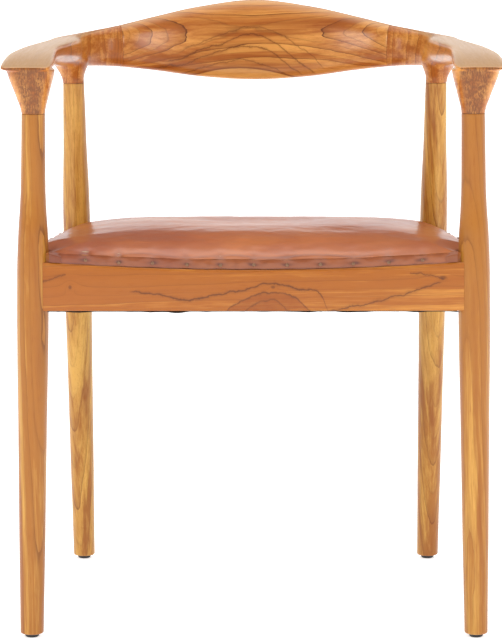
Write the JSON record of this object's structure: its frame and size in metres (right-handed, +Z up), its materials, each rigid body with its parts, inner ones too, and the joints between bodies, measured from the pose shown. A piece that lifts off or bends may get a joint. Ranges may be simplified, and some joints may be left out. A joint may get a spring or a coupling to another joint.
{
  "type": "armchair",
  "caption": "Open-frame wooden armchair with a horseshoe arm and crest rail, turned legs and a padded leather seat with a tacked front edge.",
  "frame": {"origin": "on the floor, below the middle of the chair's box", "axes": "+Z up, -Y the way the sitter faces, +X to the right as seen from the front of the chair"},
  "size_m": [0.6118, 0.5212, 0.767],
  "materials": {
    "teak": "oiled and waxed teak with brown streaks",
    "leather": "glossy cognac leather",
    "nylon": "moulded black nylon",
    "steel": "plain steel screws",
    "webbing": "woven jute",
    "foam": "open foam",
    "brass": "dark oxidised brass tack heads",
    "cloth": "thin black cotton"
  },
  "bodies": {
    "root": {"right_arm": "teak", "left_arm": "teak", "crest_rail": "teak", "right_crest_tenon": "teak", "left_crest_tenon": "teak", "front_right_leg": "teak", "front_left_leg": "teak", "back_right_leg": "teak", "back_left_leg": "teak", "front_rail": "teak", "back_rail": "teak", "right_rail": "teak", "left_rail": "teak", "front_right_corner_block": "teak", "front_left_corner_block": "teak", "back_right_corner_block": "teak", "back_left_corner_block": "teak", "front_right_glide": "nylon", "front_left_glide": "nylon", "back_right_glide": "nylon", "back_left_glide": "nylon", "front_right_cross_screw": "steel", "front_left_cross_screw": "steel", "back_right_cross_screw": "steel", "back_left_cross_screw": "steel", "front_right_side_screw": "steel", "front_left_side_screw": "steel", "back_right_side_screw": "steel", "back_left_side_screw": "steel", "lengthwise_strap_1": "webbing", "lengthwise_strap_2": "webbing", "lengthwise_strap_3": "webbing", "crosswise_strap_1": "webbing", "crosswise_strap_2": "webbing", "crosswise_strap_3": "webbing", "seat_foam": "foam", "seat_leather": "leather", "front_gimp": "leather", "back_gimp": "leather", "right_gimp": "leather", "left_gimp": "leather", "front_tack_01": "brass", "front_tack_02": "brass", "front_tack_03": "brass", "front_tack_04": "brass", "front_tack_05": "brass", "front_tack_06": "brass", "front_tack_07": "brass", "front_tack_08": "brass", "front_tack_09": "brass", "front_tack_10": "brass", "front_tack_11": "brass", "front_tack_12": "brass", "front_tack_13": "brass", "dust_cover": "cloth"}
  },
  "joints": []
}
